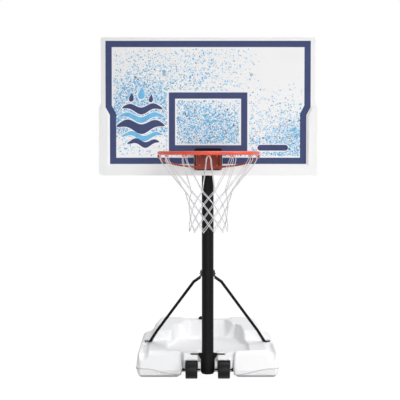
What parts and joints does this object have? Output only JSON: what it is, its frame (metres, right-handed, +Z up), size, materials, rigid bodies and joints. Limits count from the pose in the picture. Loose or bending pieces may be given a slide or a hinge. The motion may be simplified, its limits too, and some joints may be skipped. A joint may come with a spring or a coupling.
{
  "type": "portable basketball hoop",
  "caption": "Low poolside basketball hoop: net and rim on a wide plastic board, on a telescoping pole braced to a wheeled, water-filled base.",
  "frame": {"origin": "on the ground, at the middle of the hoop's overall footprint", "axes": "+X to the right seen from the court, -Y towards the court, +Z up"},
  "size_m": [1.118, 1.9014, 1.81],
  "materials": {
    "tank": "satin white polyethylene",
    "water": "clear",
    "black_plastic": "matt",
    "zinc": "zinc plated",
    "black_steel": "semi-gloss powder coat",
    "board": "satin",
    "print": "satin ink",
    "rim_paint": "gloss powder coat",
    "net": "braided nylon"
  },
  "bodies": {
    "base": {"base_tank": "tank", "water_ballast": "water", "axle_left": "zinc", "axle_right": "zinc", "axle_cap_left": "black_plastic", "axle_cap_right": "black_plastic", "pole_boot": "black_plastic", "pole_rod": "black_steel", "lower_pole": "black_steel", "brace_band": "black_steel", "brace_left": "black_steel", "brace_right": "black_steel", "brace_bolt": "zinc", "brace_nut": "zinc", "foot_bolt_left": "zinc", "foot_bolt_right": "zinc", "clamp_collar": "black_plastic"},
    "mast": {"pole_cap": "black_plastic", "arm_bolt_upper": "zinc", "arm_nut_upper": "zinc", "arm_bolt_lower": "zinc", "arm_nut_lower": "zinc", "board_bolt_left": "zinc", "board_bolt_right": "zinc", "board_nut_left": "zinc", "board_nut_right": "zinc", "rim_bolt_1": "zinc", "rim_bolt_2": "zinc", "rim_bolt_3": "zinc", "rim_bolt_4": "zinc", "rim_nut_1": "zinc", "rim_nut_2": "zinc", "rim_nut_3": "zinc", "rim_nut_4": "zinc", "upper_pole": "black_steel", "arm_upper_left": "black_steel", "arm_upper_right": "black_steel", "arm_lower_left": "black_steel", "arm_lower_right": "black_steel", "rim_backing": "black_steel", "backboard": "board", "board_print": "print", "rim_bracket": "rim_paint", "rim_ring": "rim_paint", "rim_support": "rim_paint", "net_hooks": "rim_paint", "net": "net"},
    "cap": {"filler_cap": "black_plastic"},
    "clamp": {"clamp_screw": "zinc", "clamp_knob": "black_plastic"},
    "wheel_left": {"wheel_left": "black_plastic"},
    "wheel_right": {"wheel_right": "black_plastic"}
  },
  "joints": [
    {"name": "mast_lift", "type": "slide", "parent": "base", "child": "mast", "axis": [0, 0, 1], "range_m": [0, 0.762]},
    {"name": "clamp_turn", "type": "hinge", "parent": "base", "child": "clamp", "pos_m": [0, 0.02575, 1.12], "axis": [0, 1, 0], "continuous": true},
    {"name": "cap_lift", "type": "slide", "parent": "base", "child": "cap", "axis": [0, 0, 1], "range_m": [0, 0.03]},
    {"name": "wheel_left_spin", "type": "hinge", "parent": "base", "child": "wheel_left", "pos_m": [-0.0875, -0.04625, 0.05], "axis": [1, 0, 0], "continuous": true},
    {"name": "wheel_right_spin", "type": "hinge", "parent": "base", "child": "wheel_right", "pos_m": [0.0875, -0.04625, 0.05], "axis": [1, 0, 0], "continuous": true}
  ]
}
